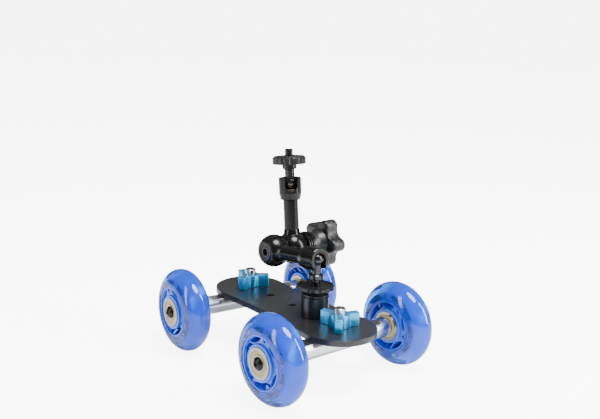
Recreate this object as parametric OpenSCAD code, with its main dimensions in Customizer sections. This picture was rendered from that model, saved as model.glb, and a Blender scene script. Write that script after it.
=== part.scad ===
// Skater dolly with a friction arm.
// Frame: origin on the floor, midway between the two axles. +X along the deck, towards the end
// that carries the arm, +Y along the axles, +Z up.

/* [Wheels] */
// Diameter of the tyre
wheel_d = 64; // [56:1:76]
// Width of the tyre
tyre_w = 23; // [18:0.5:24]
// Radius of the outside of the moulded core's rim
core_rim_r = 19.5; // [18.5:0.1:20.5]
// Number of V shaped spokes
spoke_count = 5; // [3:1:6]
// Length of the tube between the two bearings of a wheel
spacer_len = 10; // [8:0.5:14]

/* [Bearings] */
// Outer diameter of the bearing
bearing_od = 22; // [21:0.5:23]
// Bore of the bearing, which is the axle's journal
bearing_id = 8; // [7:0.5:8.5]
// Width of the bearing
bearing_w = 7; // [6:0.5:8]
// Diameter of the bearing balls
race_ball_d = 3.96; // [3.5:0.01:4.2]
// Number of balls in a bearing
race_ball_count = 7; // [6:1:8]

/* [Deck] */
// Length of the deck over its round ends
deck_len = 166; // [140:1:200]
// Width of the deck at its round ends
deck_w = 56; // [50:1:62]
// Width of the deck at its waist
waist_w = 51; // [44:1:54]
// Thickness of the deck plate
deck_t = 4.5; // [3:0.1:6]
// Distance between the tapped holes on the centre line
hole_pitch = 28; // [24:1:34]

/* [Axles] */
// Distance between the two axle pivots
wheelbase = 112; // [100:1:140]
// Distance between the middles of the two wheels on an axle
track = 120; // [112:1:150]
// Angle that each axle is set to, for a curved track
steer = 2.5; // [-10:0.5:10]
// Diameter of the axle bar
bar_d = 15; // [13:0.5:18]
// Depth of the flat that carries the deck
flat_depth = 2; // [1:0.1:3]
// Length of that flat
flat_len = 76; // [72:1:86]

/* [Clamp knobs] */
// Radius over the knob's lobes
knob_r = 15; // [12:0.5:17]
// Height of the knob
knob_h = 10; // [8:0.5:14]
// Width of a lobe
lobe_w = 6.3; // [5:0.1:8]
// Diameter of the clamp screw's thread
clamp_screw_d = 5; // [4:0.5:6]

/* [Arm] */
// Diameter of the post
post_d = 20.5; // [16:0.5:24]
// Height of the post
post_h = 18.5; // [14:0.5:30]
// Height of the lower ball above the deck
ball_h = 43; // [41:0.5:60]
// Distance from a ball to the elbow
arm_len = 51; // [46:1:70]
// Angle that the folded arm leans from square
arm_lean = 6; // [0:0.5:15]
// Angle that the arm is panned by, from the line of the deck
arm_turn = 1.3; // [-5:0.1:5]
// Distance between the middles of the two elbow housings
elbow_pitch = 18; // [18:0.5:22]
// Diameter of a ball
ball_d = 10.5; // [9.5:0.1:11]
// Diameter of the arm's barrel
barrel_d = 17.6; // [16.5:0.1:17.7]
// Diameter of the arm's tube
tube_d = 11.6; // [9:0.1:12]
// Diameter of an elbow housing
elbow_d = 25.2; // [23:0.1:28]
// Diameter of the camera thread, a quarter inch
thread_d = 6.35; // [6.35:0.01:6.35]
// Diameter of the lower locking disc
lower_disc_d = 27.5; // [22:0.5:30]
// Diameter of the upper locking disc, which carries the camera
upper_disc_d = 26; // [22:0.5:30]

/* [Star knob] */
// Radius over the star knob's lobes
star_r = 19.5; // [17:0.5:21]
// Thickness of the star
star_t = 12.2; // [9:0.1:14]
// Length of the knob's hub
star_hub_len = 10.2; // [8:0.1:14]
// Number of lobes on the star knob
star_lobes = 5; // [4:1:7]

/* [Hidden] */
$fn = 64;

// Gap between pieces that are pressed, glued or screwed together
seat_gap = 0.01;
// Radial clearance of a shaft that turns in its hole
run_gap = 0.05;
// Gap between flat faces that slide on each other
face_gap = 0.05;
// Extra length of a cutting tool past the face that it leaves
past = 1;

// Signs for the ends and sides of the dolly
front = 1;
rear = -1;
left = 1;
right = -1;

// Wheels and bearings
wheel_r = wheel_d / 2;
hub_w = spacer_len + 2 * bearing_w;
bearing_r = bearing_od / 2;
journal_r = bearing_id / 2;
inner_ring_r = journal_r + 2;
outer_ring_inside = bearing_r - 2;
race_r = (inner_ring_r + outer_ring_inside) / 2;
shield_t = 0.4;
shield_inset = 0.3;
hub_wall = 2.2;
hub_r = bearing_r + hub_wall;
rim_inside = core_rim_r - 1.7;
rim_half_w = tyre_w / 2 - 0.6;
web_half_w = tyre_w / 2 - 2;
flange_half_w = tyre_w / 2 - 3.5;
flange_r = core_rim_r + 4.5;
window_w = 8;
window_h = 3.4;
spoke_pitch = 360 / spoke_count;
open_r = 12;
open_reach = hub_r + 0.8;
notch_w = 5.2;
notch_reach = hub_r + 1.4;

// Rounding of the tyre: the sides' arcs are centred this far in, and end where the tread's begins
side_centre_r = core_rim_r - 1.5;
tread_round_r = tyre_w / 2 - 1.5;
side_high = wheel_r - side_centre_r;
side_round_r = (pow(side_high, 2) + pow(tyre_w / 2, 2) - 2 * side_high * tread_round_r)
  / (tyre_w - 2 * tread_round_r);

// Rest angle of each wheel on its axle, at the middle of a spoke
front_left_turn = -57;
front_right_turn = 8;
rear_left_turn = 20;
rear_right_turn = 43.5;

// Axles
bar_r = bar_d / 2;
shoulder_r = inner_ring_r;
bar_half = track / 2 - hub_w / 2 - 1.5;
shoulder_end = track / 2 - hub_w / 2 - seat_gap;
journal_end = track / 2 + hub_w / 2 - 0.4;
wheel_screw_r = 2.5;
wheel_screw_len = 12;
button_r = 4.75;
button_h = 2.75;

// Deck
deck_z = wheel_r + bar_r - flat_depth;
deck_top = deck_z + deck_t;
deck_end_r = deck_w / 2;
deck_end_x = deck_len / 2 - deck_end_r;
waist_r = (deck_end_x * deck_end_x + waist_w * waist_w / 4 - deck_end_r * deck_end_r)
  / (deck_w - waist_w);
waist_y = waist_r + waist_w / 2;
tangent_x = deck_end_x * waist_r / (waist_r + deck_end_r);
tangent_y = waist_y * deck_end_r / (waist_r + deck_end_r);
thread_r = thread_d / 2;
tapped_r = thread_r + run_gap;

// Clamp knobs: screw head, and how far the screw goes into the bar
head_d = clamp_screw_d * 1.7;
head_h = clamp_screw_d;
head_sink = 0.6;
clamp_r = clamp_screw_d / 2;
clamp_hole_r = clamp_r + run_gap;
bar_web = 2.5;
clamp_hole_depth = bar_d - flat_depth - bar_web;
clamp_screw_end = deck_z - clamp_hole_depth + past;
knob_hub_r = 7;
knob_fillet = 3;
lobe_corner = 1.2;
front_knob_angle = -43.5;
rear_knob_angle = -63;

// Arm stations along the axis of the lower ball stud
post_x = hole_pitch;
post_r = post_d / 2;
post_top = deck_top + post_h;
ball_z = deck_top + ball_h;
ball_r = ball_d / 2;
neck_r = 3.8;
collar_r = 5.6;
collar_start = 10.7;
collar_end = 14.7;
thread_shown = 4.7;
pad_t = 0.7;
dish_rim = 1.6;
dish_depth = 0.5;
upper_disc_t = 5.5;
lower_disc_t = ball_z - collar_end - thread_shown - post_top - pad_t;
lower_thread_end = ball_z - post_top + 4.5;
upper_pad_top = collar_end + upper_disc_t + pad_t;
upper_thread_end = upper_pad_top + 5.6;
thread_tip = 0.6;
relief_r = 2.8;

// Socket at the end of an arm, with the ball at its origin and the mouth towards +Z
mouth_z = 4.3;
barrel_r = barrel_d / 2;
seat_r = ball_r + 1.1;
seat_mouth_r = ball_r - 0.35;
seat_front = mouth_z - 0.8;
lip_r = seat_mouth_r + 0.2;
seat_back = -6.6;
slot_r = ball_r - 0.45;
slot_end = 1.2;
barrel_waist = -7.9;
barrel_back = -12.6;
barrel_tail = -13.2;
tube_r = tube_d / 2;
rod_r = 2;
rod_cup_r = ball_r - 0.2;
rod_cup_front = slot_end + 3.6;
rod_cup_back = 9.2;
upper_slot_turn = -30;

// Elbow: distances from the middle of a housing along the elbow axis
elbow_r = elbow_d / 2;
elbow_cut = elbow_pitch / 2;
friction_washer_t = 0.6;
collar_reach = elbow_r + 2.3;
spigot_r = tube_r - 1.1;
spigot_len = 5;
bolt_r = 3;
cone_bore_r = bolt_r + run_gap;
cavity_r = 5.4;
cone_big_r = 5.2;
cone_small_r = 3.7;
cone_back = 4.4;
cone_front = 4;
cone_mid_r = cone_small_r + (cone_big_r - cone_small_r) * cone_front / (cone_front + cone_back);
rod_tip = cone_mid_r + 0.4;
recess_r = 6.5;
cap_inset = 0.3;
cap_t = 1.2;
bolt_head_r = 5;
bolt_head_h = 2.8;
bolt_head_end = cone_back + seat_gap;
thrust_nose_r = 4.6;
spring_ridges = 3;
ridge_t = 2;
ridge_r = 10.7;
ridge_groove = 1.2;
ridge_bore_r = thrust_nose_r + 0.4;
spring_start = elbow_pitch + elbow_cut + face_gap;
thrust_start = spring_start + spring_ridges * ridge_t + face_gap;
thrust_t = 1.5;
thrust_r = 10.4;
star_start = thrust_start + thrust_t + face_gap;
star_face = star_start + star_hub_len;
star_end = star_face + star_t;
star_hub_r = 9;
star_shoulder_r = 11.4;
star_lobe_r = 0.272 * star_r;
star_notch_r = 0.338 * star_r;
nut_r = 5.5;
nut_len = 12;
bolt_end = star_start + nut_len;
scallop_r = 3;
scallop_sink = 0.7;

// Placing

// Middle of an axle, turned with it
module at_axle(end)
  translate([end * wheelbase / 2, 0, wheel_r])
    rotate([0, 0, end * steer])
      children();

// Middle of a wheel, with local +Z pointing away from the deck
module at_wheel(end, side)
  at_axle(end)
    translate([0, side * track / 2, 0])
      rotate([-90 * side, 0, 0])
        children();

// Both wheels of an axle
module at_wheels(end)
  for (side = [left, right])
    at_wheel(end, side)
      children();

// Lower ball, with local +Z pointing down the stud
module at_lower_ball()
  translate([post_x, 0, ball_z])
    rotate([180, 0, 0])
      children();

// Elbow axis at the lower housing: local +X to the lower ball, +Y along the axis
module at_elbow()
  translate([post_x, 0, ball_z])
    rotate([0, 0, arm_turn])
      translate([-arm_len * cos(arm_lean), 0, -arm_len * sin(arm_lean)])
        rotate([0, -arm_lean, 0])
          children();

// Lower socket: local +Z out of its mouth, local +X down into its slot
module at_lower_socket()
  at_elbow()
    translate([arm_len, 0, 0])
      rotate([0, 90, 0])
        children();

// Upper housing, with local +Z up the upper arm
module at_upper_elbow()
  at_elbow()
    translate([0, elbow_pitch, 0])
      children();

// Upper ball, with local +Z up the stud
module at_upper_ball()
  at_upper_elbow()
    translate([0, 0, arm_len])
      children();

// Shared shapes

// Tube along Z between two heights
module ring(outer, inner, low, high)
  difference() {
    translate([0, 0, low])
      cylinder(r = outer, h = high - low);
    translate([0, 0, low - past])
      cylinder(r = inner, h = high - low + 2 * past);
  }

// Hexagonal key socket, sunk from z = 0 downwards
module key_socket(across, depth)
  translate([0, 0, -depth])
    cylinder(r = across / sqrt(3), h = depth + past, $fn = 6);

// Deck and post

module deck_outline() {
  for (end = [front, rear])
    translate([end * deck_end_x, 0])
      circle(r = deck_end_r, $fn = 96);
  difference() {
    square([2 * tangent_x, 2 * tangent_y], center = true);
    for (side = [left, right])
      translate([0, side * waist_y])
        circle(r = waist_r, $fn = 360);
  }
}

module deck_plate()
  color("#2b2c2f")
    difference() {
      translate([0, 0, deck_z])
        linear_extrude(deck_t)
          deck_outline();
      for (end = [front, rear])
        translate([end * wheelbase / 2, 0, deck_z - past])
          cylinder(r = clamp_hole_r, h = deck_t + 2 * past);
      for (place = [-1, 0, 1])
        translate([place * hole_pitch, 0, deck_z - past])
          cylinder(r = tapped_r, h = deck_t + 2 * past);
    }

module arm_post()
  color("#1b1c1f")
    translate([post_x, 0, deck_top])
      difference() {
        rotate_extrude()
          polygon([[0, 0], [post_r, 0], [post_r, post_h - 3], [post_r - 0.6, post_h - 2.6],
            [post_r - 0.6, post_h - 2], [post_r, post_h - 1.6], [post_r, post_h - 0.8],
            [post_r - 0.8, post_h], [0, post_h]]);
        translate([0, 0, post_h - 9])
          cylinder(r = tapped_r, h = 9 + past);
        translate([0, 0, -past])
          cylinder(r = tapped_r, h = 6.5 + past);
      }

module post_stud()
  color("#8f9296")
    translate([post_x, 0, deck_z + 0.3])
      difference() {
        cylinder(r = thread_r, h = deck_t + 5.7);
        rotate([180, 0, 0])
          key_socket(3, 2.5);
      }

// Axles

module axle_bar(end)
  color("#c9ccd0")
    at_axle(end)
      difference() {
        union() {
          rotate([90, 0, 0])
            cylinder(r = bar_r, h = 2 * bar_half - 2, center = true);
          for (side = [left, right])
            rotate([-90 * side, 0, 0]) {
              translate([0, 0, bar_half - 1])
                cylinder(r1 = bar_r, r2 = bar_r - 1, h = 1);
              translate([0, 0, bar_half - 1])
                cylinder(r = shoulder_r, h = shoulder_end - bar_half + 1);
              translate([0, 0, bar_half - 1])
                cylinder(r = journal_r - seat_gap, h = journal_end - bar_half + 1);
            }
        }
        translate([-bar_r - past, -flat_len / 2, bar_r - flat_depth])
          cube([bar_d + 2 * past, flat_len, flat_depth + past]);
        translate([0, 0, bar_r - flat_depth - clamp_hole_depth])
          cylinder(r = clamp_r + run_gap, h = clamp_hole_depth + past);
        for (side = [left, right])
          rotate([-90 * side, 0, 0])
            translate([0, 0, journal_end - wheel_screw_len])
              cylinder(r = wheel_screw_r, h = wheel_screw_len + past);
      }

module bearing_inner_rings(end)
  color("#b9b9b4")
    at_wheels(end)
      for (way = [-1, 1])
        translate([0, 0, way * (hub_w - bearing_w) / 2])
          difference() {
            ring(inner_ring_r, journal_r, -bearing_w / 2, bearing_w / 2);
            rotate_extrude()
              translate([race_r, 0])
                circle(r = race_ball_d / 2 + run_gap, $fn = 32);
          }

module bearing_spacers(end)
  color("#a9abad")
    at_wheels(end)
      ring(inner_ring_r, journal_r, seat_gap - spacer_len / 2, spacer_len / 2 - seat_gap);

module wheel_screws(end)
  color("#1d1e20")
    at_wheels(end)
      translate([0, 0, hub_w / 2 + seat_gap])
        difference() {
          union() {
            intersection() {
              cylinder(r = button_r, h = button_h);
              translate([0, 0, button_h - 6])
                sphere(r = 6, $fn = 48);
            }
            translate([0, 0, -wheel_screw_len + 2])
              cylinder(r = wheel_screw_r - seat_gap, h = wheel_screw_len - 1);
          }
          translate([0, 0, button_h])
            key_socket(3, 1.6);
        }

// Clamp knobs

// Fillet between the knob's hub and the side of a lobe along +X
module lobe_fillet() {
  fillet_y = lobe_w / 2 + knob_fillet;
  fillet_x = sqrt(pow(knob_hub_r + knob_fillet, 2) - pow(fillet_y, 2));
  share = knob_hub_r / (knob_hub_r + knob_fillet);
  difference() {
    polygon([[0, 0], [fillet_x, lobe_w / 2], [fillet_x, fillet_y],
      [fillet_x * share, fillet_y * share]]);
    translate([fillet_x, fillet_y])
      circle(r = knob_fillet, $fn = 32);
  }
}

module knob_outline() {
  circle(r = knob_hub_r);
  for (lobe = [0 : 2])
    rotate(lobe * 120) {
      translate([0, -lobe_w / 2])
        square([knob_r - lobe_corner, lobe_w]);
      translate([0, lobe_corner - lobe_w / 2])
        square([knob_r, lobe_w - 2 * lobe_corner]);
      for (side = [-1, 1])
        translate([knob_r - lobe_corner, side * (lobe_w / 2 - lobe_corner)])
          circle(r = lobe_corner, $fn = 32);
      lobe_fillet();
      mirror([0, 1])
        lobe_fillet();
    }
}

module at_clamp(end)
  translate([end * wheelbase / 2, 0, deck_top])
    rotate([0, 0, end == front ? front_knob_angle : rear_knob_angle])
      children();

module clamp_knob(end)
  color("#3f9fd8")
    at_clamp(end)
      difference() {
        translate([0, 0, face_gap])
          linear_extrude(knob_h - face_gap)
            knob_outline();
        translate([0, 0, -past])
          cylinder(r = clamp_r + seat_gap, h = knob_h + 2 * past);
        translate([0, 0, knob_h - head_sink])
          cylinder(r = head_d / 2 + seat_gap, h = head_sink + past);
      }

module clamp_screw(end)
  color("#cfd1d3")
    at_clamp(end)
      difference() {
        union() {
          translate([0, 0, clamp_screw_end - deck_top])
            cylinder(r = clamp_r, h = deck_top - clamp_screw_end + knob_h - head_sink + 0.5);
          translate([0, 0, knob_h - head_sink])
            cylinder(r = head_d / 2, h = head_h - 0.4);
          translate([0, 0, knob_h - head_sink + head_h - 0.4])
            cylinder(r1 = head_d / 2, r2 = head_d / 2 - 0.4, h = 0.4);
        }
        translate([0, 0, knob_h - head_sink + head_h])
          key_socket(0.8 * clamp_screw_d, 0.5 * clamp_screw_d);
      }

// Wheels

// Section of the tyre: a round tread that runs smoothly into two flatter sides
module tyre_section() {
  tread_c = wheel_r - tread_round_r;
  side_c = side_round_r - tyre_w / 2;
  join = tread_c + tread_round_r * (tread_c - side_centre_r) / (side_round_r - tread_round_r);
  intersection() {
    translate([side_centre_r, side_c])
      circle(r = side_round_r, $fn = 96);
    translate([side_centre_r, -side_c])
      circle(r = side_round_r, $fn = 96);
    translate([core_rim_r, -tyre_w])
      square([join - core_rim_r, 2 * tyre_w]);
  }
  intersection() {
    translate([tread_c, 0])
      circle(r = tread_round_r, $fn = 96);
    translate([join, -tyre_w])
      square([wheel_r, 2 * tyre_w]);
  }
}

module tyre_flange()
  difference() {
    ring(flange_r, core_rim_r - past, -flange_half_w, flange_half_w);
    for (i = [0 : 2 * spoke_count - 1])
      rotate([0, 0, (i + 0.5) * spoke_pitch / 2])
        translate([core_rim_r + 0.6, -window_w / 2, -wheel_r])
          cube([window_h, window_w, wheel_d]);
  }

module tyre(end, side, turn)
  color("#5b95ee")
    at_wheel(end, side)
      rotate([0, 0, turn])
        difference() {
          rotate_extrude($fn = 96)
            tyre_section();
          tyre_flange();
        }

// Sides of the core's openings, seen along the axle
module core_openings() {
  reach = open_reach + open_r;
  for (i = [0 : spoke_count - 1])
    rotate(i * spoke_pitch) {
      intersection() {
        circle(r = rim_inside - 0.3, $fn = 96);
        rotate(spoke_pitch / 2)
          translate([reach, 0])
            circle(r = open_r, $fn = 96);
      }
      intersection() {
        circle(r = rim_inside - 0.3, $fn = 96);
        polygon([[notch_reach, 0], [core_rim_r, -notch_w / 2], [core_rim_r, notch_w / 2]]);
      }
    }
}

module wheel_core(end, side, turn)
  color("#3566cf")
    at_wheel(end, side)
      rotate([0, 0, turn])
        difference() {
          union() {
            ring(core_rim_r - seat_gap, rim_inside, -rim_half_w, rim_half_w);
            cylinder(r = rim_inside + 0.5, h = 2 * web_half_w, center = true, $fn = 96);
            cylinder(r = hub_r, h = hub_w - 1, center = true);
            tyre_flange();
          }
          translate([0, 0, -wheel_r])
            linear_extrude(wheel_d)
              core_openings();
          cylinder(r = outer_ring_inside + 0.5, h = wheel_d, center = true);
          for (way = [-1, 1])
            translate([0, 0, way * (spacer_len / 2 + bearing_w - seat_gap)])
              cylinder(r = bearing_r + seat_gap, h = 2 * bearing_w, center = true);
        }

module bearing_rings(end, side)
  color("#c4c2b6")
    at_wheel(end, side)
      for (way = [-1, 1])
        translate([0, 0, way * (hub_w - bearing_w) / 2])
          difference() {
            ring(bearing_r, outer_ring_inside, -bearing_w / 2, bearing_w / 2);
            rotate_extrude()
              translate([race_r, 0])
                circle(r = race_ball_d / 2 + run_gap, $fn = 32);
          }

module bearing_shields(end, side)
  color("#d8d2b8")
    at_wheel(end, side)
      for (way = [-1, 1], face = [-1, 1])
        translate([0, 0, way * (hub_w - bearing_w) / 2])
          translate([0, 0, face * (bearing_w / 2 - shield_inset - shield_t / 2)])
            ring(outer_ring_inside - seat_gap, inner_ring_r + 0.3, -shield_t / 2, shield_t / 2);

module bearing_balls(end, side)
  color("#dfe1e3")
    at_wheel(end, side)
      for (way = [-1, 1], i = [0 : race_ball_count - 1])
        translate([0, 0, way * (hub_w - bearing_w) / 2])
          rotate([0, 0, i * 360 / race_ball_count])
            translate([race_r, 0, 0])
              sphere(r = race_ball_d / 2, $fn = 32);

// Arm ends

// Ball, neck, collar and thread, with the ball at the origin and the thread towards +Z
module ball_stud(thread_end)
  color("#222326")
    union() {
      sphere(r = ball_r);
      cylinder(r = neck_r, h = collar_start + 0.5);
      translate([0, 0, collar_start])
        cylinder(r1 = collar_r - 0.8, r2 = collar_r, h = 0.8);
      translate([0, 0, collar_start + 0.8])
        cylinder(r = collar_r, h = collar_end - collar_start - 1.4);
      translate([0, 0, collar_end - 0.6])
        cylinder(r1 = collar_r, r2 = collar_r - 0.6, h = 0.6);
      cylinder(r = thread_r, h = thread_end - thread_tip);
      translate([0, 0, thread_end - thread_tip])
        cylinder(r1 = thread_r, r2 = thread_r - thread_tip, h = thread_tip);
    }

// Locking disc between two heights, wide at its back and narrower by taper at its pad
module locking_disc(disc_d, low, high, taper)
  color("#1e1f22")
    difference() {
      union() {
        translate([0, 0, low])
          cylinder(r = disc_d / 2, h = high - low - taper, $fn = 96);
        translate([0, 0, high - taper])
          cylinder(r1 = disc_d / 2, r2 = disc_d / 2 - taper, h = taper, $fn = 96);
      }
      translate([0, 0, low - past])
        cylinder(r = tapped_r, h = high - low + 2 * past);
      for (i = [0 : 11])
        rotate([0, 0, i * 30])
          translate([disc_d / 2 + scallop_r - scallop_sink, 0, low - past])
            cylinder(r = scallop_r, h = high - low + 2 * past, $fn = 32);
    }

module lower_ball_stud()
  at_lower_ball()
    ball_stud(lower_thread_end);

module lower_locking_disc()
  at_lower_ball() {
    pad_face = ball_z - post_top - pad_t;
    back = pad_face - lower_disc_t;
    difference() {
      locking_disc(lower_disc_d, back, pad_face, 2.4);
      translate([0, 0, back - past])
        cylinder(r = lower_disc_d / 2 - dish_rim, h = past + dish_depth);
    }
  }

module lower_disc_pad()
  color("#101113")
    at_lower_ball()
      ring(post_r - 0.4, tapped_r + 0.6, ball_z - post_top - pad_t, ball_z - post_top - face_gap);

// The groove at the pad's top ends the camera's length of the thread
module upper_ball_stud()
  at_upper_ball()
    difference() {
      ball_stud(upper_thread_end);
      ring(thread_r + past, relief_r, upper_pad_top - 0.5, upper_pad_top + 0.3);
    }

module upper_locking_disc()
  at_upper_ball()
    locking_disc(upper_disc_d, collar_end + face_gap, collar_end + upper_disc_t, 0.6);

module upper_disc_pad()
  color("#101113")
    at_upper_ball()
      ring(upper_disc_d / 2 - 1.2, tapped_r + 0.6, collar_end + upper_disc_t, upper_pad_top);

// Arms

// Slot that lets the stud swing square to the arm, towards local +X
module stud_slot() {
  translate([0, 0, -slot_end])
    rotate([0, 90, 0])
      cylinder(r = slot_r, h = barrel_r + past);
  translate([0, -slot_r, -slot_end])
    cube([barrel_r + past, 2 * slot_r, mouth_z + slot_end + past]);
}

// Barrel and tube in one piece, with the spigot that screws into the elbow housing
module arm_socket(turn)
  color("#1c1d20")
    rotate([0, 0, turn])
      difference() {
        union() {
          translate([0, 0, barrel_waist])
            cylinder(r = barrel_r, h = mouth_z - barrel_waist - 0.6);
          translate([0, 0, barrel_back])
            cylinder(r1 = barrel_r - 1, r2 = barrel_r, h = barrel_waist - barrel_back);
          translate([0, 0, mouth_z - 0.6])
            cylinder(r1 = barrel_r, r2 = barrel_r - 0.6, h = 0.6);
          translate([0, 0, barrel_tail])
            cylinder(r1 = barrel_r - 1.6, r2 = barrel_r - 1, h = barrel_back - barrel_tail);
          translate([0, 0, collar_reach - arm_len])
            cylinder(r = tube_r, h = arm_len - collar_reach + barrel_tail + past);
          translate([0, 0, collar_reach - arm_len - spigot_len])
            cylinder(r = spigot_r - seat_gap, h = spigot_len + past);
        }
        translate([0, 0, -rod_cup_back - 0.3])
          cylinder(r = seat_r + seat_gap, h = rod_cup_back + 0.3 + seat_front);
        translate([0, 0, seat_front - past])
          cylinder(r = lip_r, h = mouth_z);
        translate([0, 0, mouth_z - 0.5])
          cylinder(r1 = lip_r, r2 = lip_r + 0.81, h = 0.81);
        translate([0, 0, -arm_len])
          cylinder(r = rod_r + run_gap, h = arm_len);
        stud_slot();
      }

// Bronze liner that holds the ball
module ball_seat(turn)
  color("#a8683f")
    rotate([0, 0, turn])
      difference() {
        ring(seat_r, seat_mouth_r, seat_back, seat_front);
        sphere(r = ball_r + run_gap);
        translate([0, 0, seat_back - past])
          cylinder(r = ball_r + run_gap, h = past - seat_back);
        stud_slot();
      }

// Rod with a cup behind the ball and a round tip on the elbow cone
module push_rod()
  color("#b4b6b8")
    difference() {
      union() {
        translate([0, 0, -rod_cup_back])
          cylinder(r = rod_cup_r, h = rod_cup_back - rod_cup_front);
        translate([0, 0, rod_tip + rod_r - arm_len])
          cylinder(r = rod_r, h = arm_len - rod_tip - rod_r - rod_cup_back + past);
        translate([0, 0, rod_tip + rod_r - arm_len])
          sphere(r = rod_r, $fn = 32);
      }
      sphere(r = ball_r + 0.3);
    }

module lower_arm_socket()
  at_lower_socket()
    arm_socket(0);

module lower_ball_seat()
  at_lower_socket()
    ball_seat(0);

module lower_push_rod()
  at_lower_socket()
    push_rod();

module upper_arm_socket()
  at_upper_ball()
    arm_socket(upper_slot_turn);

module upper_ball_seat()
  at_upper_ball()
    ball_seat(upper_slot_turn);

module upper_push_rod()
  at_upper_ball()
    push_rod();

// Elbow

// Truncated ball along Z, between two flats, with the arm's neck towards +X
module elbow_housing(low, high)
  difference() {
    union() {
      intersection() {
        sphere(r = elbow_r, $fn = 96);
        translate([-elbow_d, -elbow_d, low])
          cube([2 * elbow_d, 2 * elbow_d, high - low]);
      }
      translate([elbow_r - 3, 0, 0])
        rotate([0, 90, 0])
          cylinder(r1 = tube_r + 1, r2 = tube_r + 0.2, h = collar_reach - elbow_r + 3);
    }
    translate([0, 0, low - past])
      cylinder(r = cavity_r, h = high - low + 2 * past);
    translate([collar_reach - spigot_len - 0.5, 0, 0])
      rotate([0, 90, 0])
        cylinder(r = spigot_r, h = spigot_len + 0.5 + past);
    rotate([0, 90, 0])
      cylinder(r = rod_r + run_gap, h = collar_reach);
  }

// Elbow axis along local +Z, with the lower arm towards local +X
module along_elbow()
  at_elbow()
    rotate([-90, 0, 0])
      children();

module lower_elbow_housing()
  color("#17181b")
    along_elbow()
      difference() {
        elbow_housing(-elbow_cut, elbow_cut - friction_washer_t / 2);
        translate([0, 0, -elbow_cut - past])
          cylinder(r = recess_r, h = cap_inset + cap_t + past);
      }

module upper_elbow_housing()
  color("#17181b")
    along_elbow()
      translate([0, 0, elbow_pitch])
        rotate([0, 0, -90])
          elbow_housing(-elbow_cut + friction_washer_t / 2 + face_gap, elbow_cut);

module elbow_friction_washer()
  color("#b58b4a")
    along_elbow()
      ring(cavity_r + 2.2, cone_bore_r, elbow_cut - friction_washer_t / 2, elbow_cut + friction_washer_t / 2);

// Cone that drives the push rods outwards as the bolt tightens
module elbow_cone()
  color("#9da0a4")
    difference() {
      translate([0, 0, -cone_back])
        cylinder(r1 = cone_big_r, r2 = cone_small_r, h = cone_back + cone_front);
      translate([0, 0, -cone_back - past])
        cylinder(r = cone_bore_r, h = cone_back + cone_front + 2 * past);
    }

module lower_cone()
  along_elbow()
    elbow_cone();

module upper_cone()
  along_elbow()
    translate([0, 0, elbow_pitch])
      rotate([180, 0, 0])
        elbow_cone();

module elbow_bolt()
  color("#2a2b2e")
    along_elbow()
      difference() {
        union() {
          translate([0, 0, -bolt_head_end - bolt_head_h])
            cylinder(r = bolt_head_r, h = bolt_head_h);
          translate([0, 0, -bolt_head_end - past])
            cylinder(r = bolt_r, h = bolt_end + bolt_head_end + past);
        }
        translate([0, 0, -bolt_head_end - bolt_head_h])
          rotate([180, 0, 0])
            key_socket(5, 1.6);
      }

module elbow_end_cap()
  color("#3a3b3e")
    along_elbow()
      translate([0, 0, cap_inset - elbow_cut])
        difference() {
          cylinder(r = recess_r - seat_gap, h = cap_t - seat_gap);
          translate([0, 0, -past])
            cylinder(r = bolt_r, h = cap_t + 2 * past, $fn = 6);
          ring(bolt_head_r + 0.2, bolt_head_r - 0.6, -past, 0.5);
        }

module elbow_spring_washers()
  color("#232427")
    along_elbow()
      for (i = [0 : spring_ridges - 1])
        translate([0, 0, spring_start + i * ridge_t])
          rotate_extrude()
            polygon([[ridge_bore_r, 0], [ridge_r - ridge_groove, 0], [ridge_r, ridge_t / 2 - 0.3],
              [ridge_r, ridge_t / 2 + 0.3], [ridge_r - ridge_groove, ridge_t - seat_gap],
              [ridge_bore_r, ridge_t - seat_gap]]);

// Washer with a nose that reaches the upper cone through the spring washers
module elbow_thrust_washer()
  color("#2b2c2f")
    along_elbow()
      difference() {
        nose_end = elbow_pitch + cone_back + face_gap;
        union() {
          translate([0, 0, thrust_start])
            cylinder(r = thrust_r, h = thrust_t);
          translate([0, 0, nose_end])
            cylinder(r = thrust_nose_r, h = thrust_start + past - nose_end);
        }
        translate([0, 0, nose_end - past])
          cylinder(r = cone_bore_r, h = thrust_start + thrust_t - nose_end + 2 * past);
      }

// Star knob

// Outline of the star: round lobes joined by round notches that touch them
module star_outline() {
  lobe_c = star_r - star_lobe_r;
  half = 180 / star_lobes;
  touch = star_lobe_r + star_notch_r;
  notch_c = lobe_c * cos(half) + sqrt(pow(touch, 2) - pow(lobe_c * sin(half), 2));
  for (i = [0 : star_lobes - 1])
    rotate(2 * i * half)
      translate([lobe_c, 0])
        circle(r = star_lobe_r, $fn = 48);
  difference() {
    polygon([for (i = [0 : 2 * star_lobes - 1])
      (i % 2 == 0 ? lobe_c : notch_c) * [cos(i * half), sin(i * half)]]);
    for (i = [0 : star_lobes - 1])
      rotate((2 * i + 1) * half)
        translate([notch_c, 0])
          circle(r = star_notch_r, $fn = 48);
  }
}

module star_knob()
  color("#26272a")
    along_elbow()
      difference() {
        union() {
          translate([0, 0, star_start])
            cylinder(r = star_hub_r, h = star_hub_len / 2);
          translate([0, 0, star_start + star_hub_len / 2])
            cylinder(r1 = star_hub_r, r2 = star_shoulder_r, h = star_hub_len / 2);
          translate([0, 0, star_face])
            rotate([0, 0, arm_lean])
              linear_extrude(star_t)
                star_outline();
        }
        translate([0, 0, star_start - past])
          cylinder(r = nut_r + seat_gap, h = nut_len + past + 1);
      }

module star_knob_nut()
  color("#c39a4c")
    along_elbow()
      ring(nut_r, cone_bore_r, star_start, star_start + nut_len);

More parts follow.
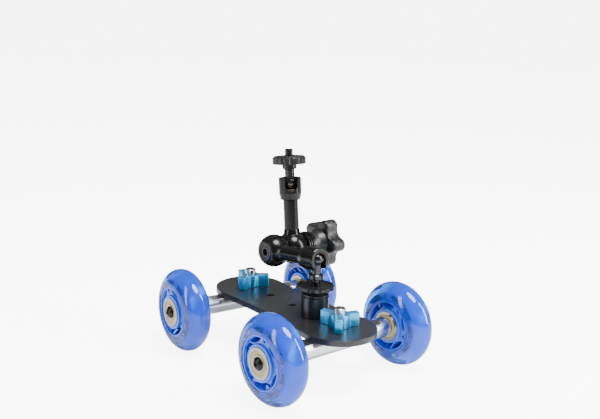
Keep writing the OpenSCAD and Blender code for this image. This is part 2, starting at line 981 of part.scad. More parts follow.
deck_plate();
arm_post();
post_stud();
axle_bar(front);  // front_axle_bar
bearing_inner_rings(front);  // front_bearing_inner_rings
bearing_spacers(front);  // front_bearing_spacers
wheel_screws(front);  // front_wheel_screws
clamp_knob(front);  // front_clamp_knob
clamp_screw(front);  // front_clamp_screw
axle_bar(rear);  // rear_axle_bar
bearing_inner_rings(rear);  // rear_bearing_inner_rings
bearing_spacers(rear);  // rear_bearing_spacers
wheel_screws(rear);  // rear_wheel_screws
clamp_knob(rear);  // rear_clamp_knob
clamp_screw(rear);  // rear_clamp_screw
tyre(front, left, front_left_turn);  // front_left_tyre
wheel_core(front, left, front_left_turn);  // front_left_core
bearing_rings(front, left);  // front_left_bearing_rings
bearing_shields(front, left);  // front_left_bearing_shields
bearing_balls(front, left);  // front_left_bearing_balls
tyre(front, right, front_right_turn);  // front_right_tyre
wheel_core(front, right, front_right_turn);  // front_right_core
bearing_rings(front, right);  // front_right_bearing_rings
bearing_shields(front, right);  // front_right_bearing_shields
bearing_balls(front, right);  // front_right_bearing_balls
tyre(rear, left, rear_left_turn);  // rear_left_tyre
wheel_core(rear, left, rear_left_turn);  // rear_left_core
bearing_rings(rear, left);  // rear_left_bearing_rings
bearing_shields(rear, left);  // rear_left_bearing_shields
bearing_balls(rear, left);  // rear_left_bearing_balls
tyre(rear, right, rear_right_turn);  // rear_right_tyre
wheel_core(rear, right, rear_right_turn);  // rear_right_core
bearing_rings(rear, right);  // rear_right_bearing_rings
bearing_shields(rear, right);  // rear_right_bearing_shields
bearing_balls(rear, right);  // rear_right_bearing_balls
lower_ball_stud();
lower_locking_disc();
lower_disc_pad();
lower_arm_socket();
lower_ball_seat();
lower_push_rod();
lower_elbow_housing();
lower_cone();
elbow_bolt();
elbow_end_cap();
elbow_friction_washer();
upper_elbow_housing();
upper_cone();
upper_arm_socket();
upper_ball_seat();
upper_push_rod();
elbow_spring_washers();
elbow_thrust_washer();
star_knob();
star_knob_nut();
upper_ball_stud();
upper_locking_disc();
upper_disc_pad();
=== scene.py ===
import math

import bmesh
import bpy
from mathutils import Matrix, Vector


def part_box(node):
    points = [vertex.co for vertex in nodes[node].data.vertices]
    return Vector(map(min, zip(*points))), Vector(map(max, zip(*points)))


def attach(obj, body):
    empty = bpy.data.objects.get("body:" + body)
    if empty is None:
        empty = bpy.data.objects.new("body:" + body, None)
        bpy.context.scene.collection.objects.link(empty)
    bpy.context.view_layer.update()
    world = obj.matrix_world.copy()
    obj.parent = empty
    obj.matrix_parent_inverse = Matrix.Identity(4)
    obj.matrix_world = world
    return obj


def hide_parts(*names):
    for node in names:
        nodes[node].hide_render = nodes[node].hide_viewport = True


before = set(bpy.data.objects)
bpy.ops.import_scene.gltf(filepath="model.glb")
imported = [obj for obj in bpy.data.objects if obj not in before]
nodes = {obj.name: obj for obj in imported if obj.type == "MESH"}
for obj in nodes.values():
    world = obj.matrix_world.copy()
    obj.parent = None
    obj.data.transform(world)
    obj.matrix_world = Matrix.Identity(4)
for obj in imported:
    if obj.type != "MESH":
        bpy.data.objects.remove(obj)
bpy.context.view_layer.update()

# ---------------------------------------------------------------- Camera
# The camera stands low and close, off the front right wheel. It looks down on the dolly and leans
# a little to one side.
camera_place = Vector((0.47319, -0.36530, 0.25038))
camera_heading = math.radians(51.94)
camera_drop = math.radians(12.616)
camera_lean = math.radians(1.832)

ahead = Vector(
    (
        -math.sin(camera_heading) * math.cos(camera_drop),
        math.cos(camera_heading) * math.cos(camera_drop),
        -math.sin(camera_drop),
    )
)
level = Vector((math.cos(camera_heading), math.sin(camera_heading), 0))
upright = level.cross(ahead)
right_hand = level * math.cos(camera_lean) + upright * math.sin(camera_lean)
overhead = upright * math.cos(camera_lean) - level * math.sin(camera_lean)

lens = bpy.data.cameras.new("camera")
lens.lens = 49.49
lens.sensor_width = 36
lens.clip_start = 0.01
camera = bpy.data.objects.new("camera", lens)
camera.matrix_world = Matrix.Translation(camera_place) @ Matrix(
    (right_hand, overhead, -ahead)
).transposed().to_4x4()
scene = bpy.context.scene
scene.collection.objects.link(camera)
scene.camera = camera


# ---------------------------------------------------------------- Floor and light
# A white sweep of paper under an overcast white room. Softboxes give the black arm its clear
# highlights: one above, a tall one to the right of the camera and a dimmer one to the left.
def linear(hex_colour):
    """sRGB hex to linear RGBA."""
    channels = [int(hex_colour[i : i + 2], 16) / 255 for i in (1, 3, 5)]
    return [
        c / 12.92 if c <= 0.04045 else ((c + 0.055) / 1.055) ** 2.4 for c in channels
    ] + [1]


def add(tree, kind, settings=None, inputs=None):
    """Adds a node, with its properties, and its sockets' values or the sockets that feed them."""
    node = tree.nodes.new("ShaderNode" + kind)
    for key, value in (settings or {}).items():
        setattr(node, key, value)
    for key, value in (inputs or {}).items():
        if isinstance(value, bpy.types.NodeSocket):
            tree.links.new(value, node.inputs[key])
        else:
            node.inputs[key].default_value = value
    return node


room = bpy.data.worlds.new("white_room")
room.use_nodes = True
tree = room.node_tree
seen = add(tree, "LightPath").outputs["Is Camera Ray"]
compass = add(tree, "TexCoord").outputs["Generated"]
rise = add(tree, "SeparateXYZ", None, {"Vector": compass}).outputs["Z"]
# Seen in the dolly's surfaces, the room is darker near the floor and paler overhead.
near_floor, above_head = 0.12, 0.5
walls = add(
    tree,
    "MapRange",
    None,
    {"Value": rise, "From Min": -0.2, "From Max": 0.9, "To Min": near_floor, "To Max": above_head},
).outputs[0]
# Seen by the camera itself, the room and the paper are both overexposed.
overexposed = 7.0
glow = add(tree, "MapRange", None, {"Value": seen, "To Min": walls, "To Max": overexposed}).outputs[0]
background = tree.nodes["Background"]
background.inputs["Color"].default_value = linear("#fdfdfe")
tree.links.new(glow, background.inputs["Strength"])
scene.world = room

floor_half = 4
floor_corners = [(x * floor_half, y * floor_half, 0) for x, y in ((-1, -1), (1, -1), (1, 1), (-1, 1))]
floor_mesh = bpy.data.meshes.new("floor")
floor_mesh.from_pydata(floor_corners, [], [(0, 1, 2, 3)])
floor = bpy.data.objects.new("floor", floor_mesh)
scene.collection.objects.link(floor)

# Matt white paper with a fine tooth. It glows to the camera and only lights the dolly a little.
MM = 0.001
fibre_width, tooth_height = 0.6 * MM, 0.02 * MM
light_on_dolly = 0.35
paper = bpy.data.materials.new("white_paper")
paper.use_nodes = True
tree = paper.node_tree
shader = tree.nodes["Principled BSDF"]
fibre = add(tree, "TexNoise", None, {"Scale": 1 / fibre_width, "Detail": 3}).outputs["Fac"]
tooth = add(
    tree, "Bump", None, {"Height": fibre, "Strength": 0.2, "Distance": tooth_height}
).outputs[0]
tree.links.new(tooth, shader.inputs["Normal"])
shader.inputs["Base Color"].default_value = linear("#fbfbfb")
shader.inputs["Roughness"].default_value = 0.75
seen = add(tree, "LightPath").outputs["Is Camera Ray"]
lit = add(
    tree, "MapRange", None, {"Value": seen, "To Min": light_on_dolly, "To Max": overexposed}
).outputs[0]
shader.inputs["Emission Color"].default_value = linear("#fdfdfe")
tree.links.new(lit, shader.inputs["Emission Strength"])
floor_mesh.materials.append(paper)

# The softboxes point at the middle of the dolly.
subject = Vector((0, 0, 0.06))
# name, shape, direction (right, up, towards the camera), distance, width, height, watts
softboxes = (
    ("softbox_top", "DISK", (0.23, 0.89, 0.40), 1.1, 0.6, 0.6, 26),
    ("softbox_right", "RECTANGLE", (0.90, 0.35, 0.25), 1.1, 0.22, 0.9, 15),
    ("softbox_left", "RECTANGLE", (-0.85, 0.30, 0.45), 1.2, 0.2, 0.9, 6),
)
for name, shape, (along, above, nearer), away, width, height, watts in softboxes:
    light = bpy.data.lights.new(name, "AREA")
    light.shape = shape
    light.size = width
    if shape == "RECTANGLE":
        light.size_y = height
    light.energy = watts
    toward = (right_hand * along + overhead * above - ahead * nearer).normalized()
    softbox = bpy.data.objects.new(name, light)
    softbox.location = subject + toward * away
    softbox.rotation_euler = (-toward).to_track_quat("-Z", "Y").to_euler()
    scene.collection.objects.link(softbox)


# ---------------------------------------------------------------- Deck plate
# Waisted plate, laser cut from 4.5 mm aluminium, with three tapped holes and two clearance holes
# on its centre line. It is brushed, then anodised black.
def show(name, mesh, body, slot, *replaced):
    """Puts a made piece in the scene, in place of the CAD nodes that it stands for."""
    piece = bpy.data.objects.new(name, mesh)
    scene.collection.objects.link(piece)
    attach(piece, body)
    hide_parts(*replaced)


def smooth(mesh, crease=35):
    """Shades a mesh smooth, apart from edges that turn by more than the crease, in degrees."""
    mesh.shade_smooth()
    mesh.set_sharp_from_angle(angle=math.radians(crease))


def arc(x, y, radius, start, end, steps):
    """Points on an arc, in degrees, from start to end."""
    angles = (math.radians(start + (end - start) * i / steps) for i in range(steps + 1))
    return [(x + radius * math.cos(a), y + radius * math.sin(a)) for a in angles]


def plate(name, outlines, low, high, edge):
    """Flat piece between two heights, with rounded edges. The first outline is its rim,
    anticlockwise, and the others are holes, clockwise. All sizes are in millimetres."""
    curve = bpy.data.curves.new(name, "CURVE")
    curve.dimensions = "2D"
    curve.fill_mode = "BOTH"
    for outline in outlines:
        spline = curve.splines.new("POLY")
        spline.points.add(len(outline) - 1)
        for point, (x, y) in zip(spline.points, outline):
            point.co = (x * MM, y * MM, 0, 1)
        spline.use_cyclic_u = True
    curve.extrude = ((high - low) / 2 - edge) * MM
    curve.bevel_depth = edge * MM
    curve.bevel_resolution = 2
    curve.offset = -edge * MM
    drawing = bpy.data.objects.new(name, curve)
    scene.collection.objects.link(drawing)
    bpy.context.view_layer.update()
    evaluated = drawing.evaluated_get(bpy.context.evaluated_depsgraph_get())
    mesh = bpy.data.meshes.new_from_object(evaluated)
    bpy.data.objects.remove(drawing)
    mesh.transform(Matrix.Translation((0, 0, (low + high) / 2 * MM)))
    weld_gap = 0.002 * MM
    welded = bmesh.new()
    welded.from_mesh(mesh)
    bmesh.ops.remove_doubles(welded, verts=welded.verts, dist=weld_gap)
    welded.to_mesh(mesh)
    welded.free()
    smooth(mesh)
    # The two faces are shaded flat, and only the rim and the rounded edges are smooth.
    for face in mesh.polygons:
        face.use_smooth = abs(face.normal.z) < 0.999
    return mesh


def finish(name, colour, worn, metallic, roughness, grain, depth, edge, stretch=(1, 1, 1)):
    """Surface with patches between two colours, a fine grain and softly broken edges.
    grain, depth and edge are in millimetres, and stretch lengthens the grain. The real grain of
    most of these surfaces is too fine to show, so it is drawn coarser than it is."""
    patch_width = 9 * MM
    smoother, rougher = 0.85, 1.2
    made = bpy.data.materials.new(name)
    made.use_nodes = True
    tree = made.node_tree
    shader = tree.nodes["Principled BSDF"]
    place = add(tree, "TexCoord").outputs["Object"]
    lengthened = add(tree, "Mapping", None, {"Vector": place, "Scale": [1 / s for s in stretch]}).outputs[0]
    patches = add(
        tree, "TexNoise", None, {"Vector": place, "Scale": 1 / patch_width, "Detail": 3}
    ).outputs["Fac"]
    fine = add(
        tree, "TexNoise", None, {"Vector": lengthened, "Scale": 1 / (grain * MM), "Detail": 2}
    ).outputs["Fac"]
    shade = add(tree, "MapRange", None, {"Value": patches, "From Min": 0.35, "From Max": 0.7}).outputs[0]
    tint = add(
        tree,
        "Mix",
        {"data_type": "RGBA"},
        {"Factor": shade, 6: linear(colour), 7: linear(worn)},
    ).outputs[2]
    dull = add(
        tree,
        "MapRange",
        None,
        {"Value": fine, "To Min": roughness * smoother, "To Max": roughness * rougher},
    ).outputs[0]
    broken = add(tree, "Bevel", {"samples": 4}, {"Radius": edge * MM}).outputs[0]
    bump = add(
        tree, "Bump", None, {"Height": fine, "Strength": 0.4, "Distance": depth * MM, "Normal": broken}
    ).outputs[0]
    tree.links.new(tint, shader.inputs["Base Color"])
    tree.links.new(dull, shader.inputs["Roughness"])
    tree.links.new(bump, shader.inputs["Normal"])
    shader.inputs["Metallic"].default_value = metallic
    return made


def dress(made, *names):
    """Gives CAD nodes a material."""
    for name in names:
        mesh = nodes[name].data
        mesh.materials.clear()
        mesh.materials.append(made)
        smooth(mesh)


# Brushed, black anodised aluminium: an even dark satin that turns pale grey at a low angle,
# with faint brush lines along the plate.
anodised_plate = finish(
    "black_anodised_brushed", "#1a1a1c", "#232326", 0.0, 0.3, 0.35, 0.004, 0.15, (30, 1, 1)
)

# The deck's outline is two round ends, joined by the large arcs of the waist.
deck_low, deck_high = (corner.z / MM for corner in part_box("deck_plate"))
deck_end_x, deck_end_r = 55, 28
waist_half = 25.5
waist_r = (deck_end_x**2 + waist_half**2 - deck_end_r**2) / (2 * (deck_end_r - waist_half))
waist_y = waist_half + waist_r
join_angle = math.degrees(math.atan2(waist_y, deck_end_x))
waist_angle = 90 - join_angle
deck_rim = (
    arc(deck_end_x, 0, deck_end_r, join_angle - 180, 180 - join_angle, 64)
    + arc(0, waist_y, waist_r, 270 + waist_angle, 270 - waist_angle, 24)[1:-1]
    + arc(-deck_end_x, 0, deck_end_r, join_angle, 360 - join_angle, 64)
    + arc(0, -waist_y, waist_r, 90 + waist_angle, 90 - waist_angle, 24)[1:-1]
)
post_x, axle_x = 28, 56
tapped_r, clearance_r = 3.2, 2.55
# Softened edge of what is cut from plate
plate_edge = 0.35
holes = [(x, tapped_r) for x in (-post_x, 0, post_x)] + [(x, clearance_r) for x in (-axle_x, axle_x)]
deck_outlines = [deck_rim] + [arc(x, 0, r, 360, 0, 40)[:-1] for x, r in holes]
mesh = plate("deck", deck_outlines, deck_low, deck_high, plate_edge)
show("deck", mesh, "deck", "black_anodised_deck", "deck_plate")
mesh.materials.append(anodised_plate)

# ---------------------------------------------------------------- Post
# Short round column, turned from aluminium bar, that stands the arm on the deck. A steel grub
# screw joins them. The arm's two locking discs are turned and finished in the same way.
# Fine turned, black anodised aluminium: near black, with a soft sheen and fine lines round it.
turned_black = finish(
    "black_anodised_turned", "#0d0d0f", "#141417", 0.0, 0.3, 0.25, 0.006, 0.25, (12, 12, 1)
)
dress(turned_black, "arm_post", "lower_locking_disc", "upper_locking_disc")

# Plain machined steel, a mid grey with a dull shine. The steel parts that don't show have it.
plain_steel = finish(
    "machined_steel", "#8c8f93", "#a3a6aa", 1.0, 0.35, 0.3, 0.003, 0.15
)
dress(
    plain_steel,
    "post_stud",
    "front_bearing_spacers",
    "rear_bearing_spacers",
    "lower_push_rod",
    "upper_push_rod",
    "lower_cone",
    "upper_cone",
)

# ---------------------------------------------------------------- Axle bars
# Round aluminium bars across the dolly, with a milled flat under the deck and a turned journal
# at each end.
# Fine turned, bare aluminium: bright silver with faint rings round the bar.
bright_bar = finish(
    "turned_aluminium", "#c4c7cb", "#d6d8da", 1.0, 0.24, 0.3, 0.004, 0.25, (12, 1, 12)
)
dress(bright_bar, "front_axle_bar", "rear_axle_bar")

# ---------------------------------------------------------------- Bearings
# Two ball bearings in each wheel, pressed into the core from both sides. Their rings and balls are
# ground steel, and moulded seals close them.
# Ground bearing steel, a bright warm silver.
bearing_steel = finish(
    "ground_steel", "#98958a", "#aaa79d", 1.0, 0.15, 0.4, 0.002, 0.2
)
# Moulded seal, a matt cream plastic.
seal = finish("cream_seal", "#a89a68", "#b9ab7c", 0.0, 0.5, 0.3, 0.01, 0.1)
# name, sign of X and sign of Y
wheels = [
    (end + "_" + side, end_sign, side_sign)
    for end, end_sign in (("front", 1), ("rear", -1))
    for side, side_sign in (("left", 1), ("right", -1))
]
dress(bearing_steel, "front_bearing_inner_rings", "rear_bearing_inner_rings")
for wheel, end_sign, side_sign in wheels:
    dress(bearing_steel, wheel + "_bearing_rings", wheel + "_bearing_balls")
    dress(seal, wheel + "_bearing_shields")


# ---------------------------------------------------------------- Wheel cores
# Moulded core with five V spokes between hub and rim, and a flange with ten windows that the
# tyre is cast through.
def turned(name, outline, steps=96):
    """Piece turned about Z from the points of its section, (radius, height) in millimetres.
    The section is closed, unless it starts and ends on the axis."""
    lathe = bmesh.new()
    rings = []
    for radius, height in outline:
        count = steps if radius > 0 else 1
        rings.append(
            [
                lathe.verts.new(
                    (
                        radius * MM * math.cos(2 * math.pi * i / steps),
                        radius * MM * math.sin(2 * math.pi * i / steps),
                        height * MM,
                    )
                )
                for i in range(count)
            ]
        )
    solid = outline[0][0] == 0 and outline[-1][0] == 0
    following = rings[1:] if solid else rings[1:] + rings[:1]
    for ring, after in zip(rings, following):
        for i in range(steps):
            j = (i + 1) % steps
            corners = [ring[i % len(ring)], ring[j % len(ring)], after[j % len(after)], after[i % len(after)]]
            lathe.faces.new(list(dict.fromkeys(corners)))
    bmesh.ops.recalc_face_normals(lathe, faces=lathe.faces)
    mesh = bpy.data.meshes.new(name)
    lathe.to_mesh(mesh)
    lathe.free()
    smooth(mesh)
    return mesh


def joined(name, *meshes):
    """One mesh of several."""
    whole = bmesh.new()
    for mesh in meshes:
        whole.from_mesh(mesh)
    mesh = bpy.data.meshes.new(name)
    whole.to_mesh(mesh)
    whole.free()
    smooth(mesh)
    return mesh


def softened(points, times=2):
    """Closed outline with its corners cut, which rounds them."""
    for _ in range(times):
        cut = []
        for (ax, ay), (bx, by) in zip(points, points[1:] + points[:1]):
            cut.append((0.75 * ax + 0.25 * bx, 0.75 * ay + 0.25 * by))
            cut.append((0.25 * ax + 0.75 * bx, 0.25 * ay + 0.75 * by))
        points = cut
    return points


def spun(points, angle):
    """Points turned about the origin, in degrees."""
    c, s = math.cos(math.radians(angle)), math.sin(math.radians(angle))
    return [(x * c - y * s, x * s + y * c) for x, y in points]


def mirrored(points):
    """The lower half of a section, from the points of its upper half."""
    return [(radius, -height) for radius, height in reversed(points)]


def clockwise(points):
    """An opening's outline, from an anticlockwise one."""
    return points[::-1]


# Gloss moulded plastic in a strong blue, with a clear reflection and no grain to speak of.
blue_plastic = finish(
    "blue_moulded_plastic", "#1c55e0", "#2762e8", 0.0, 0.2, 0.6, 0.01, 0.2
)
shader = blue_plastic.node_tree.nodes["Principled BSDF"]
shader.inputs["Coat Weight"].default_value = 0.3
shader.inputs["Coat Roughness"].default_value = 0.08

core_rim_r, rim_inside = 19.5, 17.8
rim_half, rim_edge = 10.9, 0.4
hub_r, hub_half, hub_edge = 13.2, 11.5, 0.4
bearing_r, lead_in = 11.01, 0.3
ledge_r, ledge_half = 9.5, 4.99
web_half, web_edge = 9.5, 0.5
flange_r, flange_half, flange_edge = 24, 8, 0.3
# The rim's outer face, which the tyre is cast onto
bond_r = core_rim_r - 0.02
# The web runs this far into the hub, and the flange this far into the rim.
overlap = 1

spokes, windows = 5, 10
spoke_pitch, window_pitch = 360 / spokes, 360 / windows
# A large opening, between two spokes, is a lens: what a circle round the wheel's centre has in
# common with one that is further out.
lens_r, lens_at = 12, 26
lens_rim = rim_inside - 0.3
lens_turn = math.degrees(math.acos((lens_at**2 + lens_rim**2 - lens_r**2) / (2 * lens_at * lens_rim)))
lens_x = lens_rim * math.cos(math.radians(lens_turn))
lens_y = lens_rim * math.sin(math.radians(lens_turn))
lens_start = math.degrees(math.atan2(lens_y, lens_x - lens_at))
large_opening = softened(
    arc(0, 0, lens_rim, -lens_turn, lens_turn, 10)
    + arc(lens_at, 0, lens_r, lens_start, 360 - lens_start, 14)[1:-1]
)
# A small opening is the wedge inside a spoke's V.
small_opening = softened(
    [
        (14.6, -0.01),
        (16.2, -1.2),
        (17.4, -2.1),
        (17.55, -1),
        (17.6, 0),
        (17.55, 1),
        (17.4, 2.1),
        (16.2, 1.2),
    ]
)
# A window in the flange is oblong, and its extra points keep its sides straight between the corners.
window_from, window_to, window_half = 20.1, 23.5, 4
window_mid, window_straight = (window_from + window_to) / 2, 1.5
window = softened(
    [(x, -window_half) for x in (window_from, window_mid, window_to)]
    + [(window_to, y) for y in (-window_straight, window_straight)]
    + [(x, window_half) for x in (window_to, window_mid, window_from)]
    + [(window_from, y) for y in (window_straight, -window_straight)]
)

web_outlines = [
    arc(0, 0, rim_inside + overlap / 2, 0, 360, 96)[:-1],
    arc(0, 0, hub_r - overlap, 360, 0, 64)[:-1],
]
for i in range(spokes):
    web_outlines.append(clockwise(spun(large_opening, (i + 0.5) * spoke_pitch)))
    web_outlines.append(clockwise(spun(small_opening, i * spoke_pitch)))
flange_outlines = [
    arc(0, 0, flange_r, 0, 360, 96)[:-1],
    arc(0, 0, core_rim_r - overlap, 360, 0, 64)[:-1],
]
for i in range(windows):
    flange_outlines.append(clockwise(spun(window, (i + 0.5) * window_pitch)))

rim_upper = [
    (bond_r, rim_half - rim_edge),
    (core_rim_r - rim_edge, rim_half),
    (rim_inside + rim_edge, rim_half),
    (rim_inside, rim_half - rim_edge),
]
hub_upper = [
    (hub_r, hub_half - hub_edge),
    (hub_r - hub_edge, hub_half),
    (bearing_r + lead_in, hub_half),
    (bearing_r, hub_half - lead_in),
    (bearing_r, ledge_half),
    (ledge_r, ledge_half),
]
core_pieces = [
    plate("web", web_outlines, -web_half, web_half, web_edge),
    plate("flange", flange_outlines, -flange_half, flange_half, flange_edge),
    turned("rim", rim_upper + mirrored(rim_upper)),
    turned("hub", hub_upper + mirrored(hub_upper)),
]

wheel_r, wheel_y = 32, 60
axle_turn = 2.5


def wheel_place(end_sign, side_sign, turn):
    """Where a wheel is, with local Z pointing away from the deck."""
    return (
        Matrix.Translation((end_sign * axle_x * MM, 0, wheel_r * MM))
        @ Matrix.Rotation(math.radians(end_sign * axle_turn), 4, "Z")
        @ Matrix.Translation((0, side_sign * wheel_y * MM, 0))
        @ Matrix.Rotation(math.radians(-90 * side_sign), 4, "X")
        @ Matrix.Rotation(math.radians(turn), 4, "Z")
    )


# Each wheel has stopped at its own angle.
wheel_turns = {"front_left": -57, "front_right": 8, "rear_left": 20, "rear_right": 43.5}
for wheel, end_sign, side_sign in wheels:
    mesh = joined(wheel + "_core_moulding", *core_pieces)
    mesh.transform(wheel_place(end_sign, side_sign, wheel_turns[wheel]))
    show(wheel + "_core_moulding", mesh, wheel + "_wheel", "blue_core", wheel + "_core")
    mesh.materials.append(blue_plastic)

# ---------------------------------------------------------------- Tyres
# Polyurethane, cast round the core's rim and flange and through its windows. It has a round tread
# and two flatter sides.
# Clear, pale blue polyurethane: it is glossy, and the core's flange and windows show through.
cast_blue = bpy.data.materials.new("cast_blue_polyurethane")
cast_blue.use_nodes = True
tree = cast_blue.node_tree
shader = tree.nodes["Principled BSDF"]
cloud_width, scuff_width, scuff_depth = 14 * MM, 0.8 * MM, 0.01 * MM
place = add(tree, "TexCoord").outputs["Object"]
cloud = add(
    tree, "TexNoise", None, {"Vector": place, "Scale": 1 / cloud_width, "Detail": 2}
).outputs["Fac"]
tint = add(
    tree, "Mix", {"data_type": "RGBA"}, {"Factor": cloud, 6: linear("#3f93ff"), 7: linear("#4f9cff")}
).outputs[2]
scuff = add(
    tree, "TexNoise", None, {"Vector": place, "Scale": 1 / scuff_width, "Detail": 3}
).outputs["Fac"]
dull = add(tree, "MapRange", None, {"Value": scuff, "To Min": 0.02, "To Max": 0.06}).outputs[0]
bump = add(tree, "Bump", None, {"Height": scuff, "Strength": 0.2, "Distance": scuff_depth}).outputs[0]
tree.links.new(tint, shader.inputs["Base Color"])
tree.links.new(dull, shader.inputs["Roughness"])
tree.links.new(bump, shader.inputs["Normal"])
shader.inputs["Transmission Weight"].default_value = 0.9
shader.inputs["IOR"].default_value = 1.5

# Half of a tyre's section is a side, which is an arc from the rim, and half of the tread's round.
tyre_half = 11.5
side_centre_r = core_rim_r - 1.5
tread_round_r = tyre_half - 1.5
side_high = wheel_r - side_centre_r
side_round_r = (side_high**2 + tyre_half**2 - 2 * side_high * tread_round_r) / (
    2 * (tyre_half - tread_round_r)
)
tread_c = wheel_r - tread_round_r
side_c = side_round_r - tyre_half
join_turn = math.degrees(math.atan2(side_c, tread_c - side_centre_r))
rim_turn = math.degrees(math.asin((core_rim_r - side_centre_r) / side_round_r))
side_arc = arc(side_centre_r, -side_c, side_round_r, 90 - rim_turn, join_turn, 12)
tread_arc = arc(tread_c, 0, tread_round_r, join_turn, -join_turn, 20)[1:-1]
# The casting is drawn a little way into the rim, so that no gap can show between them.
sunk, step = 0.9, 0.2
tyre_side = [
    (core_rim_r - sunk, rim_half - step),
    (bond_r, rim_half),
    (bond_r, side_arc[0][1] - step),
] + side_arc
tyre_section = tyre_side + tread_arc + mirrored(tyre_side)
for wheel, end_sign, side_sign in wheels:
    mesh = turned(wheel + "_tyre_casting", tyre_section, 144)
    mesh.transform(wheel_place(end_sign, side_sign, 0))
    show(wheel + "_tyre_casting", mesh, wheel + "_wheel", "blue_polyurethane", wheel + "_tyre")
    mesh.materials.append(cast_blue)

# ---------------------------------------------------------------- Wheel screws
# Button head screws that hold the wheels on their journals. The elbow's bolt and its steel washers
# have the same finish.
# Black oxide steel: deep grey-black, a little uneven, with a dull shine.
black_oxide = finish(
    "black_oxide_steel", "#111113", "#1c1d20", 0.6, 0.2, 0.3, 0.005, 0.2
)
dress(
    black_oxide,
    "front_wheel_screws",
    "rear_wheel_screws",
    "elbow_bolt",
    "elbow_spring_washers",
    "elbow_thrust_washer",
)

# ---------------------------------------------------------------- Ball studs
# Ball, neck, collar and thread turned from one bar of steel, with the ball polished. The lower one
# screws into the post and the upper one into the camera.
# Polished, blackened steel: smoky grey metal with a small, sharp highlight on the ball.
smoked_steel = finish(
    "polished_blackened_steel", "#3b3c3e", "#47484a", 1.0, 0.2, 0.3, 0.002, 0.2
)
dress(smoked_steel, "lower_ball_stud", "upper_ball_stud")

# ---------------------------------------------------------------- Clamp knobs
# Three-armed knobs, milled from plate, with a pressed-in socket head screw that pulls the axle up
# against the deck.
# Blue anodised aluminium: saturated metal, bright where it faces the light and navy where it
# turns away, with fine cutter marks up the sides.
blue_anodised = finish(
    "blue_anodised", "#35a3dc", "#45b0e4", 0.75, 0.28, 0.4, 0.004, 0.2, (1, 1, 25)
)
# Bright plated steel, an even silver with a clear shine.
plated_steel = finish(
    "plated_steel", "#c2c3c2", "#d9d9d6", 1.0, 0.2, 0.4, 0.003, 0.2
)
dress(plated_steel, "front_clamp_screw", "rear_clamp_screw")

knob_hub_r, knob_r = 7, 15
lobe_half, lobe_corner, knob_fillet = 3.15, 1.2, 3
head_r = 4.26
fillet_y = lobe_half + knob_fillet
fillet_x = math.sqrt((knob_hub_r + knob_fillet) ** 2 - fillet_y**2)
fillet_turn = math.degrees(math.atan2(fillet_y, fillet_x))
lobe = (
    arc(fillet_x, -fillet_y, knob_fillet, 180 - fillet_turn, 90, 6)
    + arc(knob_r - lobe_corner, lobe_corner - lobe_half, lobe_corner, -90, 0, 5)
    + arc(knob_r - lobe_corner, lobe_half - lobe_corner, lobe_corner, 0, 90, 5)
    + arc(fillet_x, fillet_y, knob_fillet, -90, fillet_turn - 180, 6)
    + arc(0, 0, knob_hub_r, fillet_turn, 120 - fillet_turn, 6)[1:-1]
)
knob_rim = lobe + spun(lobe, 120) + spun(lobe, 240)
# end, sign of X and how far the knob is turned
for end, end_sign, turn in (("front", 1, -43.5), ("rear", -1, -63)):
    knob_low, knob_high = (corner.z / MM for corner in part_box(end + "_clamp_knob"))
    outlines = [spun(knob_rim, turn), arc(0, 0, head_r, 360, 0, 40)[:-1]]
    mesh = plate(end + "_knob_milling", outlines, knob_low, knob_high, plate_edge)
    mesh.transform(Matrix.Translation((end_sign * axle_x * MM, 0, 0)))
    show(end + "_knob_milling", mesh, end + "_knob", "blue_anodised", end + "_clamp_knob")
    mesh.materials.append(blue_anodised)

# ---------------------------------------------------------------- Disc pads
# Rings of moulded rubber, glued to the locking discs. They stop the camera and the arm from turning
# when the discs are tight.
# Matt black rubber, slightly dusty.
rubber = finish("black_rubber", "#0c0c0d", "#161617", 0.0, 0.65, 0.25, 0.02, 0.1)
dress(rubber, "lower_disc_pad", "upper_disc_pad")

# ---------------------------------------------------------------- Arms and elbow
# Barrels, tubes and truncated balls, turned from aluminium and screwed together, with bronze
# seats for the ball studs.
# Polished, black anodised aluminium: a deep black with hard-edged highlights.
polished_black = finish(
    "black_anodised_polished", "#050506", "#09090b", 0.0, 0.2, 0.5, 0.002, 0.3
)
shader = polished_black.node_tree.nodes["Principled BSDF"]
shader.inputs["Specular IOR Level"].default_value = 0.3
dress(polished_black, "lower_arm_socket", "upper_arm_socket")

ball_high, arm_length = 85, 51
arm_turn, arm_lean = 1.3, 6
elbow_pitch = 18
# The elbow's axis, with local X towards the lower ball and Z along the axis
elbow_place = (
    Matrix.Translation((post_x * MM, 0, ball_high * MM))
    @ Matrix.Rotation(math.radians(arm_turn), 4, "Z")
    @ Matrix.Rotation(math.radians(-arm_lean), 4, "Y")
    @ Matrix.Translation((-arm_length * MM, 0, 0))
    @ Matrix.Rotation(math.radians(-90), 4, "X")
)
elbow_r, cavity_r = 12.6, 5.4
recess_r, recess_deep = 6.5, 1.5
face_edge = 0.25
# The ball's round starts this many degrees in from its faces, which breaks their edges.
face_turn = 1.5
neck_bore, neck_root_r, neck_tip_r = 4.7, 6.78, 6.05
neck_start, neck_end = 9.7, elbow_r + 2.3
neck_section = [
    (neck_bore, neck_start),
    (neck_root_r, neck_start),
    (neck_tip_r, neck_end - 0.3),
    (neck_tip_r - 0.2, neck_end),
    (neck_bore, neck_end),
]
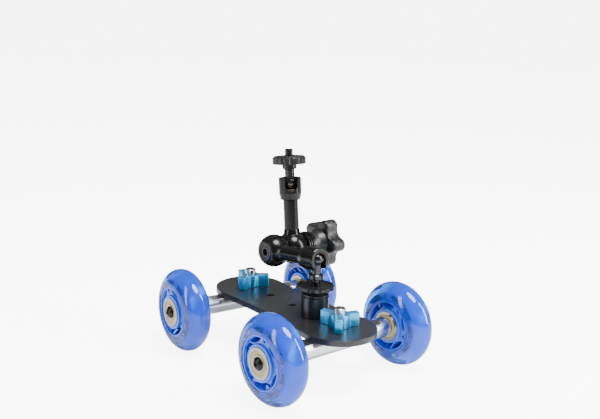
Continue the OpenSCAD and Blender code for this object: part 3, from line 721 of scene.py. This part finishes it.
# name, body, low and high faces, how far the neck is turned about the axis
housings = (
    ("lower_elbow_housing", "lower_arm", -9, 8.7, 0),
    ("upper_elbow_housing", "upper_arm", 9.35 - elbow_pitch, 9, -90),
)
for name, body, low, high, turn in housings:
    ball_from = math.degrees(math.asin(high / elbow_r)) - face_turn
    ball_to = math.degrees(math.asin(low / elbow_r)) + face_turn
    high_r = math.sqrt(elbow_r**2 - high**2) - face_edge
    low_r = math.sqrt(elbow_r**2 - low**2) - face_edge
    section = [(cavity_r, high), (high_r, high)]
    section += arc(0, 0, elbow_r, ball_from, ball_to, 48) + [(low_r, low)]
    if body == "lower_arm":
        # The lower housing has a recess for the end cap.
        section += [(recess_r, low), (recess_r, low + recess_deep), (cavity_r, low + recess_deep)]
    else:
        section += [(cavity_r, low)]
    shell = turned(name + "_ball", section, 128)
    neck = turned(name + "_neck", neck_section, 64)
    neck.transform(Matrix.Rotation(math.radians(90), 4, "Y"))
    neck.transform(Matrix.Rotation(math.radians(turn), 4, "Z"))
    mesh = joined(name + "_turning", shell, neck)
    if body == "upper_arm":
        mesh.transform(Matrix.Translation((0, 0, elbow_pitch * MM)))
    mesh.transform(elbow_place)
    show(name + "_turning", mesh, body, "black_arm", name)
    mesh.materials.append(polished_black)

# Turned bronze, brown orange and a little dull.
bronze = finish("turned_bronze", "#7a4826", "#96603a", 1.0, 0.32, 0.3, 0.004, 0.1)
dress(bronze, "lower_ball_seat", "upper_ball_seat", "elbow_friction_washer")

# ---------------------------------------------------------------- Star knob
# Five-lobed knob, moulded round a brass nut. It screws onto the elbow's bolt and tightens the whole
# arm.
# Spark-textured charcoal plastic: dark grey, with a soft broad sheen and a fine, even grain.
charcoal = finish(
    "textured_charcoal_plastic", "#0f1011", "#151617", 0.0, 0.36, 0.35, 0.05, 0.4
)
dress(charcoal, "elbow_end_cap")
# Turned brass, a warm yellow with a soft shine.
brass = finish("turned_brass", "#b58a3c", "#c79c4d", 1.0, 0.28, 0.3, 0.004, 0.1)
dress(brass, "star_knob_nut")

star_lobes = 5
lobe_pitch = 360 / star_lobes
star_r = 19.5
star_lobe_r, star_notch_r = 0.272 * star_r, 0.338 * star_r
lobe_c = star_r - star_lobe_r
half_lobe = math.radians(lobe_pitch / 2)
# The round of a notch touches the rounds of the two lobes beside it.
star_touch = star_lobe_r + star_notch_r
notch_c = lobe_c * math.cos(half_lobe) + math.sqrt(star_touch**2 - (lobe_c * math.sin(half_lobe)) ** 2)
notch_x, notch_y = notch_c * math.cos(half_lobe), notch_c * math.sin(half_lobe)
touch_turn = math.degrees(math.atan2(notch_y, notch_x - lobe_c))
star_point = (
    arc(lobe_c, 0, star_lobe_r, -touch_turn, touch_turn, 14)
    + arc(notch_x, notch_y, star_notch_r, 180 + touch_turn, 180 + lobe_pitch - touch_turn, 9)[1:-1]
)
star_rim = [point for i in range(star_lobes) for point in spun(star_point, lobe_pitch * i)]

# Heights along the elbow's axis
knob_start = 34.65
star_face = knob_start + 10.2
knob_end = star_face + 12.2
nut_top = knob_start + 11.5
nut_r, star_hub_r, flare_r = 5.52, 9, 11.3
hub_section = [
    (0, nut_top),
    (nut_r, nut_top),
    (nut_r, knob_start),
    (star_hub_r - 0.4, knob_start),
    (star_hub_r, knob_start + 0.4),
    (star_hub_r, knob_start + 4.6),
    (star_hub_r + 0.4, knob_start + 6.6),
    (flare_r, star_face - 0.2),
    (flare_r, star_face + 1),
    (0, star_face + 1),
]
# The two halves of the mould leave a fine line that stands proud of the rim.
line_grow, line_half = 1.008, 0.2
line_rim = [(x * line_grow, y * line_grow) for x, y in star_rim]
line_middle = (star_face + knob_end) / 2
mesh = joined(
    "star_knob_moulding",
    plate("star", [star_rim], star_face, knob_end, 1.4),
    plate("parting_line", [line_rim], line_middle - line_half, line_middle + line_half, 0.12),
    turned("hub", hub_section, 64),
)
star_turn = 6
mesh.transform(elbow_place @ Matrix.Rotation(math.radians(star_turn), 4, "Z"))
show("star_knob_moulding", mesh, "elbow_knob", "charcoal_plastic", "star_knob")
mesh.materials.append(charcoal)
